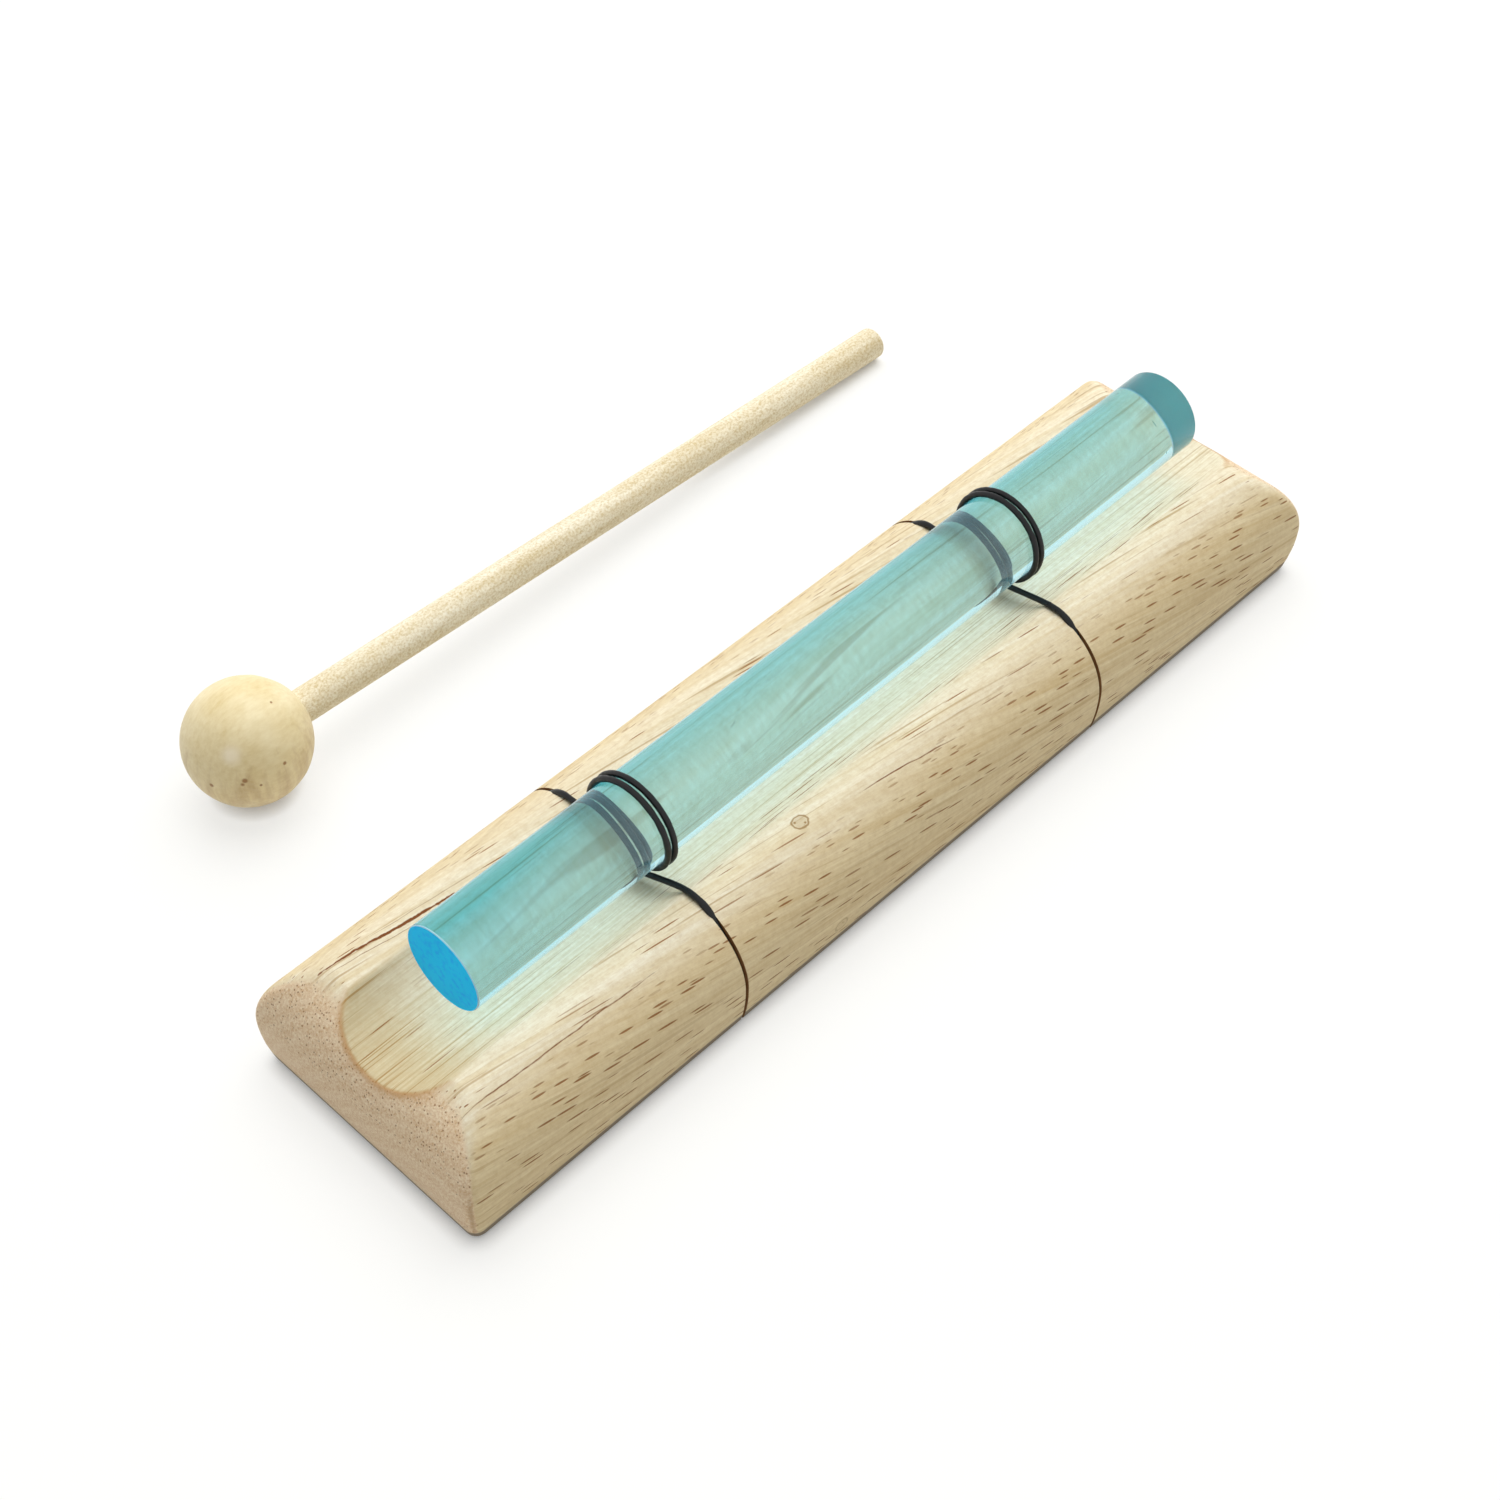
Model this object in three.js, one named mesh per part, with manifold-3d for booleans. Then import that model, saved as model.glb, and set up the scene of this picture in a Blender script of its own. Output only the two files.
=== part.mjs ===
// A single-tone desk chime, in millimetres.
// A glass bar hangs in two elastic cords over a lengthwise trough in a wooden block.
// Each cord lies in a saw kerf round the block, crosses the trough and winds twice round the bar.
// A wooden ball mallet lies on the table beside it.
// +X runs along the bar, +Y points to the mallet, +Z is up, and the table is z = 0.
import * as THREE from 'three';
import { mergeVertices } from 'three/addons/utils/BufferGeometryUtils.js';
import Module from 'manifold-3d';

const wasm = await Module();
wasm.setup();

// Driving dimensions
const blockLength = 206;
const blockWidth = 52;
const blockHeight = 23;
const shoulderRise = 12.9;
const shoulderLead = 0.5;
const sideTuck = 1.4;
const cornerRadius = 1.4;
const edgeEase = 0.7;
const troughRadius = 17;
const troughDepth = 4.6;
const troughAside = -0.7;
const lipEase = 0.6;
const barDiameter = 16;
const barLength = 174.6;
const barGap = 3.9;
const barChamfer = 0.4;
const cordDiameter = 1.1;
const pinchedDiameter = 0.6;
const cordClearance = 0.2;
const stationSpacing = 88.1;
const kerfWidth = 1;
const kerfDepth = 1.5;
const kerfMouthAngle = THREE.MathUtils.degToRad(68);
const cordSink = 0.8;
const knotDiameter = 2.2;
const knotLength = 2.6;
const knotPocketDiameter = 6;
const headDiameter = 22.85;
const malletReach = 160;
const handleDiameter = 6.35;
const handleEndEase = 0.8;
const handleSocketDepth = 11;
const fitClearance = 0.3;
const cutOverrun = 2;

// How each cord's turns lie on the bar: their spacing and their offset from the kerf
const turns = 2;
const lowSpacing = 1.7;
const topSpacing = 1.6;
const frontLowOffset = -0.3;
const frontTopOffset = 0.25;
const rearLowOffset = 0.8;
const rearTopOffset = 1.8;

// How the bar lies in its loops, a little askew over the trough
const barShift = 3.2;
const barAside = -0.1;
const barYaw = THREE.MathUtils.degToRad(0.45);

// Where the mallet lies on the table
const malletHeadX = -67.5;
const malletHeadY = 71.2;
const malletYaw = THREE.MathUtils.degToRad(0.26);

// Steps and sides of the faceted surfaces
const loopSteps = 24;
const tubeSides = 6;
const sideArcSteps = 5;
const cornerSteps = 3;
const troughSteps = 20;
const barSides = 48;
const roundSides = 32;

// Values that follow from the driving dimensions
const barRadius = barDiameter / 2;
const cordRadius = cordDiameter / 2;
const pinchedRadius = pinchedDiameter / 2;
const troughFloor = blockHeight - troughDepth;
const troughCentre = troughFloor + troughRadius;
const troughLip = Math.sqrt(troughRadius ** 2 - (troughCentre - blockHeight) ** 2) + lipEase;
const cordLip = troughLip - Math.abs(troughAside);
const barCentre = troughFloor + barGap + barRadius;
const widestHeight = blockHeight - shoulderRise;
const shoulderRadius = shoulderRise + shoulderLead;
const sideBulge = shoulderRadius - Math.sqrt(shoulderRadius ** 2 - shoulderRise ** 2);
const lowerArcRadius = (widestHeight ** 2 + sideTuck ** 2) / (2 * sideTuck);
const wrapRadius = barRadius + cordRadius + cordClearance;
const headRadius = headDiameter / 2;

// Materials
const paleWood = new THREE.MeshStandardMaterial({ color: '#d9c49a', roughness: 0.65, metalness: 0 });
const blueGlass = new THREE.MeshStandardMaterial({ color: '#6fbcc4', roughness: 0.05, metalness: 0 });
const blackCord = new THREE.MeshStandardMaterial({ color: '#151517', roughness: 0.45, metalness: 0 });
const birchDowel = new THREE.MeshStandardMaterial({ color: '#e6d3ae', roughness: 0.6, metalness: 0 });
const birchBall = new THREE.MeshStandardMaterial({ color: '#dcc39b', roughness: 0.55, metalness: 0 });

// Turns an outline drawn in y and z, with x as the way it is extruded, into the part's axes
const outlineToPart = new THREE.Matrix4().makeBasis(
  new THREE.Vector3(0, 1, 0),
  new THREE.Vector3(0, 0, 1),
  new THREE.Vector3(1, 0, 0),
);

function toSolid(geometry) {
  const bare = geometry.clone();
  bare.deleteAttribute('normal');
  bare.deleteAttribute('uv');
  const merged = mergeVertices(bare);
  const mesh = new wasm.Mesh({
    numProp: 3,
    vertProperties: merged.attributes.position.array,
    triVerts: Uint32Array.from(merged.index.array),
  });
  return new wasm.Manifold(mesh);
}

function toGeometry(solid) {
  const mesh = solid.getMesh();
  const geometry = new THREE.BufferGeometry();
  geometry.setAttribute('position', new THREE.BufferAttribute(mesh.vertProperties, 3));
  geometry.setIndex(new THREE.BufferAttribute(mesh.triVerts, 1));
  geometry.computeVertexNormals();
  return geometry;
}

function namedMesh(name, geometry, material) {
  const mesh = new THREE.Mesh(geometry, material);
  mesh.name = name;
  return mesh;
}

// A bar of constant section along x, centred on centreX
function prismAlongX(outline, length, centreX) {
  const geometry = new THREE.ExtrudeGeometry(outline, { depth: length, bevelEnabled: false });
  geometry.translate(0, 0, centreX - length / 2);
  return geometry.applyMatrix4(outlineToPart);
}

// A solid with one ring of points after another, closed by a fan at each end
function ringsToGeometry(rings) {
  const count = rings[0].length;
  const positions = rings.flat().flatMap((point) => point.toArray());
  const index = [];
  for (let ring = 0; ring + 1 < rings.length; ring += 1) {
    for (let side = 0; side < count; side += 1) {
      const next = (side + 1) % count;
      const low = ring * count;
      const high = low + count;
      index.push(low + side, low + next, high + next);
      index.push(low + side, high + next, high + side);
    }
  }
  const last = (rings.length - 1) * count;
  for (let side = 1; side + 1 < count; side += 1) {
    index.push(0, side + 1, side);
    index.push(last, last + side, last + side + 1);
  }
  const geometry = new THREE.BufferGeometry();
  geometry.setAttribute('position', new THREE.Float32BufferAttribute(positions, 3));
  geometry.setIndex(index);
  geometry.computeVertexNormals();
  return geometry;
}

// The block's bulging side, as a path of offsets from its widest outline against height.
// It tucks in towards the table, swells to the widest height and rolls in to the rim.
function sideProfile() {
  const path = new THREE.Path();
  const lowStart = -Math.asin((widestHeight - edgeEase) / lowerArcRadius);
  const highEnd = Math.asin((shoulderRise - edgeEase / 2) / shoulderRadius);
  path.moveTo(-sideTuck - edgeEase, 0);
  path.lineTo(lowerArcRadius * (Math.cos(lowStart) - 1), edgeEase);
  path.absarc(-lowerArcRadius, widestHeight, lowerArcRadius, lowStart, 0, false);
  path.absarc(-shoulderRadius, widestHeight, shoulderRadius, 0, highEnd, false);
  path.lineTo(-sideBulge - edgeEase, blockHeight);
  return path.getPoints(sideArcSteps);
}

// A level outline of the block: a rectangle with round corners, moved out or in by an offset
function levelOutline(offset, height) {
  const halfLength = blockLength / 2 + offset;
  const halfWidth = blockWidth / 2 + offset;
  const path = new THREE.Path();
  const quarter = Math.PI / 2;
  const corners = [[1, 1], [-1, 1], [-1, -1], [1, -1]];
  corners.forEach(([alongX, alongY], number) => {
    const centreX = alongX * (halfLength - cornerRadius);
    const centreY = alongY * (halfWidth - cornerRadius);
    path.absarc(centreX, centreY, cornerRadius, number * quarter, (number + 1) * quarter, false);
  });
  return path.getPoints(cornerSteps).map((point) => new THREE.Vector3(point.x, point.y, height));
}

// The trough's section, with eased lips and room above the block.
// It is ploughed a little to one side of the block's middle.
function troughOutline() {
  const easedHeight = blockHeight - edgeEase;
  const easedWidth = Math.sqrt(troughRadius ** 2 - (troughCentre - easedHeight) ** 2);
  const edgeAngle = Math.asin(easedWidth / troughRadius);
  const start = -Math.PI / 2 - edgeAngle;
  const end = -Math.PI / 2 + edgeAngle;
  const top = blockHeight + cutOverrun;
  const outline = new THREE.Shape();
  outline.moveTo(troughAside - troughLip, top);
  outline.lineTo(troughAside - troughLip, blockHeight);
  outline.absarc(troughAside, troughCentre, troughRadius, start, end, false);
  outline.lineTo(troughAside + troughLip, blockHeight);
  outline.lineTo(troughAside + troughLip, top);
  return new THREE.Shape(outline.getPoints(troughSteps));
}

// The thin slot that a saw leaves round the flanks and the underside, at one station.
// Its floor follows the flank and then runs straight out through the shoulder.
function kerfGeometry(stationX) {
  const outer = new THREE.Shape();
  const reach = blockWidth / 2 + cutOverrun;
  const top = blockHeight + cutOverrun;
  outer.moveTo(-reach, -cutOverrun);
  outer.lineTo(reach, -cutOverrun);
  outer.lineTo(reach, top);
  outer.lineTo(-reach, top);
  const widest = blockWidth / 2;
  const floor = new THREE.Path();
  const lowRadius = lowerArcRadius - kerfDepth;
  const highRadius = shoulderRadius - kerfDepth;
  const highX = widest - shoulderRadius;
  const lowStart = -Math.asin((widestHeight - kerfDepth) / lowRadius);
  const highEnd = kerfMouthAngle - Math.acos(highRadius / shoulderRadius);
  const runOut = Math.sqrt(shoulderRadius ** 2 - highRadius ** 2) + cutOverrun;
  floor.absarc(widest - lowerArcRadius, widestHeight, lowRadius, lowStart, 0, false);
  floor.absarc(highX, widestHeight, highRadius, 0, highEnd, false);
  const right = floor.getPoints(sideArcSteps);
  right.push(new THREE.Vector2(
    highX + highRadius * Math.cos(highEnd) - runOut * Math.sin(highEnd),
    widestHeight + highRadius * Math.sin(highEnd) + runOut * Math.cos(highEnd),
  ));
  const left = right.map((point) => new THREE.Vector2(-point.x, point.y)).reverse();
  outer.holes.push(new THREE.Path([...right, ...left]));
  return prismAlongX(outer, kerfWidth, stationX);
}

function cylinderUp(radius, height, x, y, bottom) {
  const geometry = new THREE.CylinderGeometry(radius, radius, height, roundSides);
  geometry.rotateX(Math.PI / 2);
  return geometry.translate(x, y, bottom + height / 2);
}

function woodenBlock() {
  const rings = sideProfile().map((point) => levelOutline(point.x, point.y));
  let block = toSolid(ringsToGeometry(rings));
  block = block.subtract(toSolid(prismAlongX(troughOutline(), blockLength + cutOverrun, 0)));
  const pocketDepth = knotDiameter + 2 * fitClearance;
  for (const stationX of [-stationSpacing / 2, stationSpacing / 2]) {
    block = block.subtract(toSolid(kerfGeometry(stationX)));
    const pocketHeight = pocketDepth + cutOverrun;
    const pocket = cylinderUp(knotPocketDiameter / 2, pocketHeight, stationX, 0, -cutOverrun);
    block = block.subtract(toSolid(pocket));
  }
  return toGeometry(block);
}

// The glass bar, turned about its own axis and laid along x
function glassBar() {
  const half = barLength / 2;
  const profile = [
    new THREE.Vector2(0, -half),
    new THREE.Vector2(barRadius - barChamfer, -half),
    new THREE.Vector2(barRadius, barChamfer - half),
    new THREE.Vector2(barRadius, half - barChamfer),
    new THREE.Vector2(barRadius - barChamfer, half),
    new THREE.Vector2(0, half),
  ];
  const geometry = new THREE.LatheGeometry(profile, barSides);
  return geometry.rotateZ(-Math.PI / 2);
}

// Half of the cord's way round the block, from the knot to where it leaves the trough's lip.
// It is a list of points in y and z, with the cord's radius at each.
function kerfRoute() {
  const widest = blockWidth / 2;
  const lowRadius = lowerArcRadius - cordSink;
  const highRadius = shoulderRadius - cordSink;
  const clearOfShoulder = shoulderRadius + pinchedRadius + cordClearance;
  const bend = cordRadius + cordClearance;
  const lowStart = -Math.asin((widestHeight - cordSink - bend) / lowRadius);
  const lowX = widest - lowerArcRadius;
  const highX = widest - shoulderRadius;
  const cornerY = lowX + Math.sqrt(lowRadius ** 2 - (widestHeight - cordSink) ** 2);
  const restHeight = blockHeight + cordRadius + cordClearance;
  const leaveAngle = kerfMouthAngle - Math.acos(highRadius / clearOfShoulder);
  const leaveY = highX + highRadius * Math.cos(leaveAngle);
  const leaveZ = widestHeight + highRadius * Math.sin(leaveAngle);
  const climb = (restHeight - leaveZ) / Math.cos(leaveAngle);
  const turnY = leaveY - climb * Math.sin(leaveAngle);
  const underside = new THREE.LineCurve(
    new THREE.Vector2(knotLength / 2 + fitClearance, cordSink),
    new THREE.Vector2(cornerY - bend, cordSink),
  );
  const corner = new THREE.QuadraticBezierCurve(
    new THREE.Vector2(cornerY - bend, cordSink),
    new THREE.Vector2(cornerY, cordSink),
    new THREE.Vector2(lowX + lowRadius * Math.cos(lowStart), cordSink + bend),
  );
  const lowArc = new THREE.EllipseCurve(lowX, widestHeight, lowRadius, lowRadius, lowStart, 0);
  const highArc = new THREE.EllipseCurve(highX, widestHeight, highRadius, highRadius, 0, leaveAngle);
  const turnReach = 2 * bend;
  const turnStart = new THREE.Vector2(
    turnY + turnReach * Math.sin(leaveAngle),
    restHeight - turnReach * Math.cos(leaveAngle),
  );
  const runOut = new THREE.LineCurve(new THREE.Vector2(leaveY, leaveZ), turnStart);
  const rim = new THREE.QuadraticBezierCurve(
    turnStart,
    new THREE.Vector2(turnY, restHeight),
    new THREE.Vector2(turnY - turnReach, restHeight),
  );
  const steps = [[underside, 8], [corner, 4], [lowArc, 5], [highArc, 5], [runOut, 2], [rim, 5]];
  const route = steps.flatMap(([curve, count], number) => {
    const points = curve.getPoints(count);
    return number === 0 ? points : points.slice(1);
  });
  route.push(new THREE.Vector2(cordLip, restHeight));
  return route.map((point) => {
    const above = point.y - blockHeight - cordClearance;
    const radius = THREE.MathUtils.clamp(above, pinchedRadius, cordRadius);
    return { y: point.x, z: point.y, radius };
  });
}

// The whole way of one cord: up one flank, twice round the bar and down the other flank.
// The turns spread and lean between the underside and the top of the bar.
function cordRoute(stationX, lowOffset, topOffset) {
  const half = kerfRoute();
  const lip = half.at(-1);
  const drop = barCentre - lip.z;
  const reach = Math.hypot(lip.y, drop);
  const meeting = Math.atan2(lip.y, drop) - Math.acos(wrapRadius / reach);
  const start = -meeting;
  const end = turns * 2 * Math.PI + meeting;
  const stepCount = Math.ceil(((end - start) / (2 * Math.PI)) * loopSteps);
  const wrap = [];
  for (let step = 0; step <= stepCount; step += 1) {
    const angle = start + ((end - start) * step) / stepCount;
    const up = (1 - Math.cos(angle)) / 2;
    const spacing = THREE.MathUtils.lerp(lowSpacing, topSpacing, up);
    const offset = THREE.MathUtils.lerp(lowOffset, topOffset, up);
    const x = stationX + offset - spacing * (angle / (2 * Math.PI) - turns / 2);
    const y = barAside + x * Math.tan(barYaw) - wrapRadius * Math.sin(angle);
    const z = barCentre - wrapRadius * Math.cos(angle);
    wrap.push({ point: new THREE.Vector3(x, y, z), radius: cordRadius });
  }
  const rise = half.map(({ y, z, radius }) => ({ point: new THREE.Vector3(stationX, y, z), radius }));
  const fall = half.map(({ y, z, radius }) => ({ point: new THREE.Vector3(stationX, -y, z), radius }));
  return [...rise, ...wrap, ...fall.reverse()];
}

// A closed tube along a route, with its own radius at each point
function tubeAlong(route) {
  const points = route.map((stop) => stop.point);
  const rings = [];
  let across = new THREE.Vector3(1, 0, 0);
  points.forEach((point, number) => {
    const before = points[Math.max(number - 1, 0)];
    const after = points[Math.min(number + 1, points.length - 1)];
    const along = after.clone().sub(before).normalize();
    across = across.clone().sub(along.clone().multiplyScalar(across.dot(along))).normalize();
    const upward = along.clone().cross(across);
    const ring = [];
    for (let side = 0; side < tubeSides; side += 1) {
      const angle = (side / tubeSides) * 2 * Math.PI;
      const spoke = across.clone().multiplyScalar(Math.cos(angle));
      spoke.add(upward.clone().multiplyScalar(Math.sin(angle)));
      ring.push(point.clone().add(spoke.multiplyScalar(route[number].radius)));
    }
    rings.push(ring);
  });
  return ringsToGeometry(rings);
}

// The least gap between parts of a cord that lie further apart along it than they lie across
function leastGap(route) {
  let least = Infinity;
  const travelled = [0];
  for (let number = 1; number < route.length; number += 1) {
    const step = route[number].point.distanceTo(route[number - 1].point);
    travelled.push(travelled[number - 1] + step);
  }
  for (let first = 0; first < route.length; first += 1) {
    for (let second = first + 1; second < route.length; second += 1) {
      const apart = route[first].point.distanceTo(route[second].point);
      if (travelled[second] - travelled[first] > barDiameter) {
        least = Math.min(least, apart - route[first].radius - route[second].radius);
      }
    }
  }
  return least;
}

// The knot that joins a cord's two ends, in its pocket under the block
function cordKnot() {
  const radius = knotDiameter / 2;
  const half = knotLength / 2;
  const profile = new THREE.Path();
  profile.moveTo(0, -half);
  profile.lineTo(radius - edgeEase / 2, -half);
  profile.quadraticCurveTo(radius, -half, radius, edgeEase - half);
  profile.lineTo(radius, half - edgeEase);
  profile.quadraticCurveTo(radius, half, radius - edgeEase / 2, half);
  profile.lineTo(0, half);
  return new THREE.LatheGeometry(profile.getPoints(3), roundSides / 2);
}

function malletHead() {
  const ball = toSolid(new THREE.SphereGeometry(headRadius, roundSides, roundSides / 2));
  const socketRadius = handleDiameter / 2 + fitClearance;
  const socketLength = handleSocketDepth + cutOverrun;
  const socket = new THREE.CylinderGeometry(socketRadius, socketRadius, socketLength, roundSides);
  socket.rotateZ(Math.PI / 2);
  socket.translate(headRadius + cutOverrun - socketLength / 2, 0, 0);
  return toGeometry(ball.subtract(toSolid(socket)));
}

function malletHandle() {
  const start = headRadius - handleSocketDepth + fitClearance;
  const radius = handleDiameter / 2;
  const profile = new THREE.Path();
  profile.moveTo(0, start);
  profile.lineTo(radius, start);
  profile.lineTo(radius, malletReach - handleEndEase);
  profile.quadraticCurveTo(radius, malletReach, radius - handleEndEase, malletReach);
  profile.lineTo(0, malletReach);
  const geometry = new THREE.LatheGeometry(profile.getPoints(3), roundSides);
  return geometry.rotateZ(-Math.PI / 2);
}

const group = new THREE.Group();
group.add(namedMesh('wooden_base', woodenBlock(), paleWood));

const bar = namedMesh('chime_bar', glassBar(), blueGlass);
bar.position.set(barShift, barAside + barShift * Math.tan(barYaw), barCentre);
bar.rotation.set(0, 0, barYaw);
group.add(bar);

const stations = [
  { side: 'front', x: -stationSpacing / 2, lowOffset: frontLowOffset, topOffset: frontTopOffset },
  { side: 'rear', x: stationSpacing / 2, lowOffset: rearLowOffset, topOffset: rearTopOffset },
];
for (const { side, x, lowOffset, topOffset } of stations) {
  const route = cordRoute(x, lowOffset, topOffset);
  group.add(namedMesh(`${side}_cord`, tubeAlong(route), blackCord));
  console.log(`${side}_cord: least gap to itself ${leastGap(route).toFixed(2)} mm`);
  const knot = namedMesh(`${side}_cord_knot`, cordKnot(), blackCord);
  knot.position.set(x, 0, knotDiameter / 2 + fitClearance);
  group.add(knot);
}

// The mallet lies with its ball and the end of its handle on the table
const mallet = new THREE.Group();
const malletTilt = Math.asin((headRadius - handleDiameter / 2) / malletReach);
mallet.position.set(malletHeadX, malletHeadY, headRadius);
mallet.rotation.set(0, malletTilt, malletYaw, 'ZYX');
mallet.add(namedMesh('mallet_head', malletHead(), birchBall));
mallet.add(namedMesh('mallet_handle', malletHandle(), birchDowel));
group.add(mallet);

export default group;
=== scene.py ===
# %% [markdown]
# # A desk chime with a glass bar
#
# A round bar of tinted glass hangs in two loops of elastic cord over a trough in a wooden block.
# A ball mallet lies on the table beside it.
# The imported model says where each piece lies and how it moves.
# This script gives each piece its real surface, then sets up the table, the light and the camera.

import math

import bmesh
import bpy
from mathutils import Matrix, Vector, noise


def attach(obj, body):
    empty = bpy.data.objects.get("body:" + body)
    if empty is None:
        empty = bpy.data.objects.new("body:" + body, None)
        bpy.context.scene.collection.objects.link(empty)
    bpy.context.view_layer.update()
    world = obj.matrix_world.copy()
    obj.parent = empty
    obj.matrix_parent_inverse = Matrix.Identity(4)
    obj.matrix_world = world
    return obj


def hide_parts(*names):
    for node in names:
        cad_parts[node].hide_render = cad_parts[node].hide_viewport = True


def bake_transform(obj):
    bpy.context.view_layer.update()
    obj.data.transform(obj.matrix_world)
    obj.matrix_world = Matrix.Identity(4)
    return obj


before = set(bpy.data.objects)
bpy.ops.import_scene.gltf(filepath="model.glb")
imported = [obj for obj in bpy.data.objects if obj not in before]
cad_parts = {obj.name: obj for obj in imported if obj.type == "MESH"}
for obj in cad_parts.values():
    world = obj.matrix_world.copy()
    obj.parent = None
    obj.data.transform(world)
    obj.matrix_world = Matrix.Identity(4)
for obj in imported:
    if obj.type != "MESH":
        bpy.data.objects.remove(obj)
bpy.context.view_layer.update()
print("packed nodes:", sorted(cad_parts))

# %% [markdown]
# ## Sizes
#
# All sizes below are in millimetres, as a woodworker would write them.
# `MM` turns them into Blender's metres at the end of each step.
# The block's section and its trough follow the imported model; only the upright corners are rounder here.

# %% Sizes of the block in millimetres
MM = 0.001
BLOCK_LENGTH, BLOCK_WIDTH, BLOCK_HEIGHT = 206.0, 52.0, 23.0
SHOULDER_RISE, SHOULDER_RADIUS = 12.9, 13.4
WIDEST_HEIGHT = BLOCK_HEIGHT - SHOULDER_RISE
SIDE_TUCK, CORNER_RADIUS, EDGE_EASE = 1.4, 1.9, 0.5
LOWER_RADIUS = (WIDEST_HEIGHT**2 + SIDE_TUCK**2) / (2 * SIDE_TUCK)
TROUGH_RADIUS, TROUGH_FLOOR, TROUGH_ASIDE = 17.0, 18.4, -0.7
TROUGH_CENTRE = TROUGH_FLOOR + TROUGH_RADIUS
print("radius of the sides' lower arc:", round(LOWER_RADIUS, 1), "mm")

# %% [markdown]
# ## Small helpers
#
# The first turns an sRGB hex colour into the linear colour that a shader takes.
# The second adds one node to a material and fills its sockets.
# The rest finish a mesh, cut one object out of another, turn a profile on a lathe and draw an arc.


# %% Helpers for colours and nodes
def colour(code):
    """The linear colour of an sRGB hex code"""
    parts = [int(code[i : i + 2], 16) / 255 for i in (1, 3, 5)]
    linear = [p / 12.92 if p <= 0.04045 else ((p + 0.055) / 1.055) ** 2.4 for p in parts]
    return (*linear, 1.0)


def add(tree, kind, inputs=None, **settings):
    """Add a shader node, set its properties, and link or fill its sockets"""
    node = tree.nodes.new("ShaderNode" + kind)
    for name, value in settings.items():
        setattr(node, name, value)
    for socket, value in (inputs or {}).items():
        if isinstance(value, bpy.types.Node):
            value = next(output for output in value.outputs if output.enabled)
        if isinstance(value, bpy.types.NodeSocket):
            tree.links.new(value, node.inputs[socket])
        else:
            node.inputs[socket].default_value = value
    return node


# Settings of a Mix node that mixes colours, and of a Map Range node that eases in and out
COLOURS = {"data_type": "RGBA"}
EASED = {"interpolation_type": "SMOOTHSTEP"}


def between(value, low, high, start=0.0, end=1.0):
    """The inputs of a Map Range node that turns low into start and high into end"""
    return {"Value": value, "From Min": low, "From Max": high, "To Min": start, "To Max": end}


def new_material(name):
    """A new material and its tree, still empty"""
    material = bpy.data.materials.new(name)
    material.use_nodes = True
    material.node_tree.nodes.clear()
    return material, material.node_tree


# %% Helpers for meshes
def shade(mesh, smooth_angle):
    """Shade a mesh smoothly, but keep an edge where it turns by more than this many degrees"""
    mesh.polygons.foreach_set("use_smooth", [True] * len(mesh.polygons))
    mesh.set_sharp_from_angle(angle=math.radians(smooth_angle))


def to_object(bm, name, material, smooth_angle=40):
    """Turn a bmesh in millimetres into a smooth-shaded object in metres"""
    bmesh.ops.scale(bm, vec=(MM, MM, MM), verts=bm.verts)
    bmesh.ops.recalc_face_normals(bm, faces=bm.faces)
    mesh = bpy.data.meshes.new(name)
    bm.to_mesh(mesh)
    bm.free()
    mesh.materials.append(material)
    shade(mesh, smooth_angle)
    piece = bpy.data.objects.new(name, mesh)
    bpy.context.scene.collection.objects.link(piece)
    return piece


def bake(piece, smooth_angle=40):
    """Give a piece the shape that its modifiers make"""
    seen = bpy.context.evaluated_depsgraph_get()
    shaped = bpy.data.meshes.new_from_object(piece.evaluated_get(seen))
    piece.modifiers.clear()
    old = piece.data
    piece.data = shaped
    shaped.name = piece.name
    shade(shaped, smooth_angle)
    bpy.data.meshes.remove(old)


def cut(piece, cutter):
    """Cut one object out of another; the new faces keep the cutter's material"""
    step = piece.modifiers.new("cut", "BOOLEAN")
    step.operation = "DIFFERENCE"
    step.solver = "MANIFOLD"
    step.material_mode = "TRANSFER"
    step.object = cutter
    bake(piece)
    bpy.data.objects.remove(cutter)


def lathe(profile, steps):
    """Turn a profile of points (along, radius) about the x axis"""
    bm = bmesh.new()
    points = [bm.verts.new((along, radius, 0)) for along, radius in profile]
    edges = [bm.edges.new(pair) for pair in zip(points, points[1:])]
    axis = {"cent": (0, 0, 0), "axis": (1, 0, 0)}
    bmesh.ops.spin(bm, geom=points + edges, angle=2 * math.pi, steps=steps, use_merge=True, **axis)
    bmesh.ops.remove_doubles(bm, verts=bm.verts, dist=0.0005)
    return bm


def arc(centre, radius, start, end, steps):
    """Points on an arc, as (along, radius) or (outward, up) pairs"""
    turns = [start + (end - start) * i / steps for i in range(steps + 1)]
    return [(centre[0] + radius * math.cos(a), centre[1] + radius * math.sin(a)) for a in turns]


# %% [markdown]
# ## The block's wood
#
# The block is rubberwood, sanded with a fine grit and left raw.
# Raw sanded wood scatters light evenly, so it has no clear highlight, and its pores stay open.
# The grain leans a little across the block and down, so the pores show as short brown dashes
# on the flanks, as long thin lines on the land and in the trough, and as dots on the end grain.
# Each of the three faces gets its own layer of the pattern, and the layers fade into each other
# at the shoulders.

# %% Positions along the grain
# How far the grain drifts over x, y and z for each millimetre along the block
TOP_LEAN = (0.0, 0.12, 0.03)
SIDE_LEAN = (0.0, 0.03, 0.17)
STRAIGHT = (0.0, 0.0, 0.0)


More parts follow.
